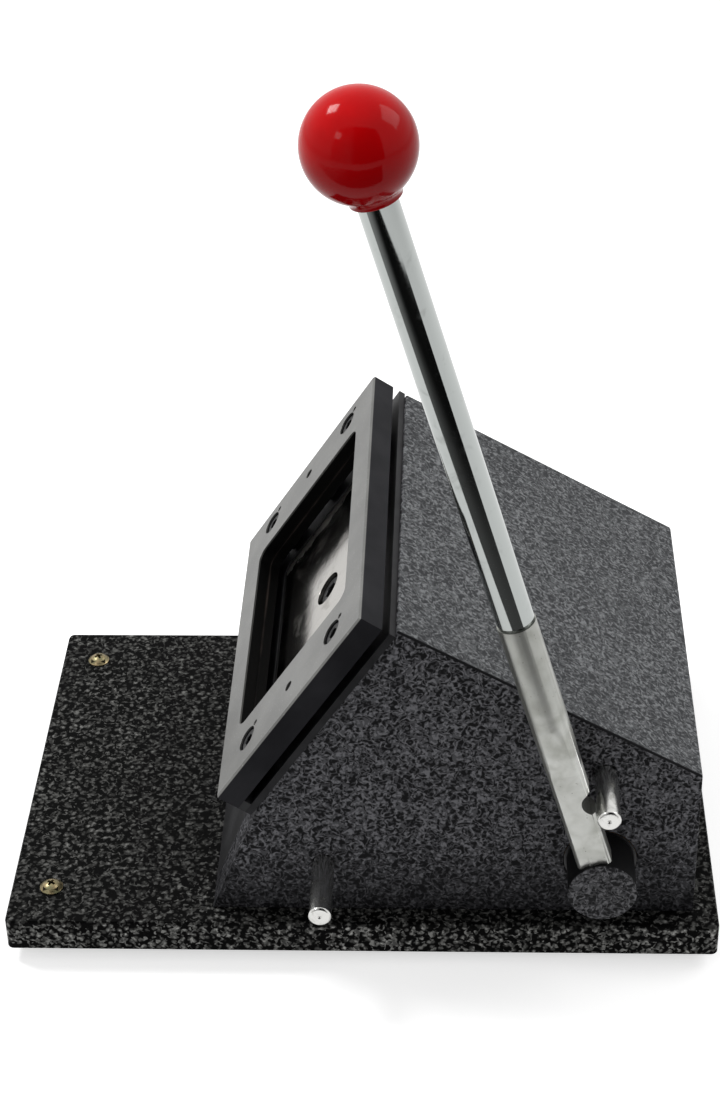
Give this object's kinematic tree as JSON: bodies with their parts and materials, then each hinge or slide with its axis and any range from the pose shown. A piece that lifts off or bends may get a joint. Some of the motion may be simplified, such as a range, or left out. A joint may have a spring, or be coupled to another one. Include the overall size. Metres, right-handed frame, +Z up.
{
  "type": "hand-lever card cutter",
  "caption": "Desk cutter that blanks plastic cards from sheet: a hand lever turns a cam that drives a guided punch through a die on a sloping face.",
  "frame": {"origin": "on the surface that the cutter stands on, under the middle of the base plate", "axes": "+Z up; -X the way the die face looks and the lever swings; -Y the lever side"},
  "size_m": [0.2, 0.154, 0.2646],
  "materials": {
    "hammertone": "black and grey hammertone enamel",
    "apron_paint": "smooth black enamel",
    "ground_steel": "surface-ground tool steel",
    "dark_steel": "mill-finish steel",
    "black_oxide": "black oxide",
    "bright_steel": "drawn and polished steel",
    "satin_nickel": "satin nickel plate",
    "chrome": "bright chrome plate",
    "red_plastic": "glossy red phenolic",
    "yellow_zinc": "yellow-passivated zinc",
    "bronze": "sintered bronze",
    "rubber": "matt black rubber"
  },
  "bodies": {
    "base": {"base_plate": "hammertone", "feet": "rubber", "foot_screws": "yellow_zinc", "foot_nuts": "bright_steel", "rear_foot_screws": "yellow_zinc", "base_screws": "black_oxide", "near_wall": "hammertone", "far_wall": "hammertone", "roof_plate": "hammertone", "rear_plate": "hammertone", "front_apron": "apron_paint", "guide_plate": "dark_steel", "bed_plate": "dark_steel", "sheet_stop": "black_oxide", "screw_spacers": "dark_steel", "die_block": "ground_steel", "die_screws": "black_oxide", "die_dowels": "bright_steel", "cross_plate": "dark_steel", "ram_bush": "bronze", "near_shaft_bush": "bronze", "far_shaft_bush": "bronze", "front_stop_pin": "bright_steel", "rear_stop_pin": "bright_steel", "return_spring": "bright_steel"},
    "lever": {"cam_shaft": "hammertone", "cam": "dark_steel", "cam_key": "bright_steel", "cam_screw": "black_oxide", "shaft_clip": "black_oxide", "lever_arm": "satin_nickel", "lever_lock_pin": "bright_steel", "lever_rod": "chrome", "lever_knob": "red_plastic"},
    "ram": {"wear_pad": "dark_steel", "plunger": "bright_steel", "punch_holder": "dark_steel", "punch": "ground_steel", "punch_screw": "black_oxide", "punch_dowels": "bright_steel"}
  },
  "joints": [
    {"name": "lever_turn", "type": "hinge", "parent": "base", "child": "lever", "pos_m": [0.0665, 0, 0.0335], "axis": [0, -1, 0], "range_deg": [-6.7, 69.63], "stiffness_Nm_per_rad": 0.15, "springref_deg": -15.47},
    {"name": "ram_slide", "type": "slide", "parent": "base", "child": "ram", "axis": [-0.831, 0, 0.5563], "range_m": [-0.00055, 0.0053], "deforming": ["return_spring"]}
  ],
  "couplings": [
    {"joint": "ram_slide", "follows": "lever_turn", "m_per_rad": 0.0042787}
  ]
}
